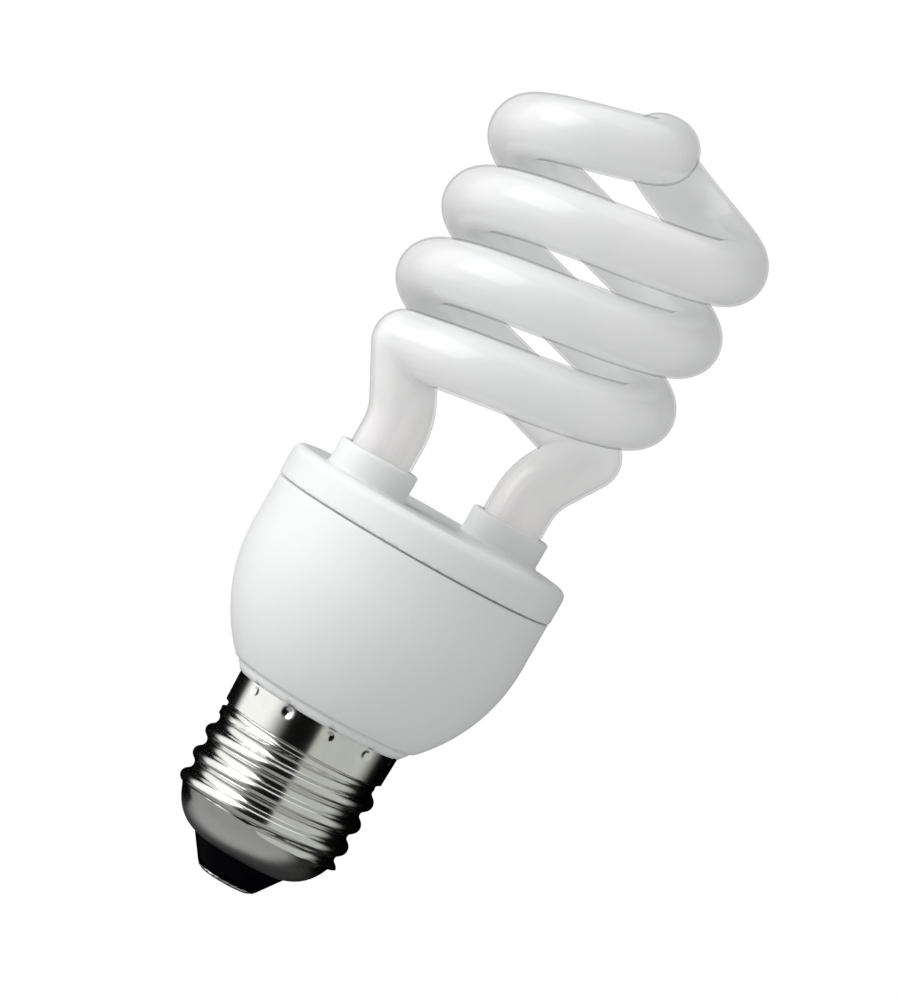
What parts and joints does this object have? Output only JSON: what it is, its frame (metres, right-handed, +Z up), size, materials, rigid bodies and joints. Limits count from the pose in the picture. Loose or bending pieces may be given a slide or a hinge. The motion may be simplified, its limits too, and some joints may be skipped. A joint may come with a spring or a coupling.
{
  "type": "spiral energy saving bulb",
  "caption": "Compact fluorescent lamp: a white spiral glass tube whose strands cross at the crown, on a round ballast housing with a rolled screw cap.",
  "frame": {"origin": "middle of the flat tip of the centre contact, the lowest point of the lamp standing cap down", "axes": "+Z up the axis of the cap and housing towards the tube's crown; +Y away from the camera in the picture, +X to its right"},
  "size_m": [0.0466, 0.0454, 0.1259],
  "materials": {
    "tube_glass": "clear glass over a white phosphor coat",
    "cement": "matt",
    "nickel_shell": "bright nickel plate",
    "black_glass": "glossy, opaque",
    "contact_metal": "bright nickel plate",
    "white_plastic": "satin",
    "board_laminate": "paper laminate",
    "tinned_metal": "tinned",
    "ferrite": "matt",
    "bobbin_plastic": "moulded",
    "enamelled_copper": "enamelled",
    "winding_wire": "plastic covered wire",
    "can_sleeve": "shrunk sleeve",
    "red_resin": "dipped",
    "disc_resin": "dipped",
    "thermistor_resin": "dipped",
    "package_black": "moulded",
    "resistor_coat": "lacquered",
    "bead_glass": "glass bead",
    "sleeved_resistor": "in a woven sleeve",
    "wire_cover": "plastic covered wire"
  },
  "bodies": {
    "root": {"discharge_tube": "tube_glass", "tube_cement": "cement", "screw_shell": "nickel_shell", "cap_insulator": "black_glass", "centre_contact": "contact_metal", "lower_housing": "white_plastic", "upper_cover": "white_plastic", "circuit_board": "board_laminate", "wrap_pins": "tinned_metal", "tube_leads": "tinned_metal", "choke_core": "ferrite", "choke_bobbin": "bobbin_plastic", "choke_winding": "enamelled_copper", "drive_core": "ferrite", "drive_winding": "winding_wire", "bulk_capacitor": "can_sleeve", "resonant_capacitor": "red_resin", "coupling_capacitor": "red_resin", "snubber_capacitor": "disc_resin", "thermistor": "thermistor_resin", "transistor_upper": "package_black", "transistor_lower": "package_black", "rectifier_diodes": "package_black", "resistors": "resistor_coat", "diac": "bead_glass", "filter_choke": "ferrite", "fusible_resistor": "sleeved_resistor", "live_lead": "wire_cover", "neutral_lead": "wire_cover"}
  },
  "joints": []
}
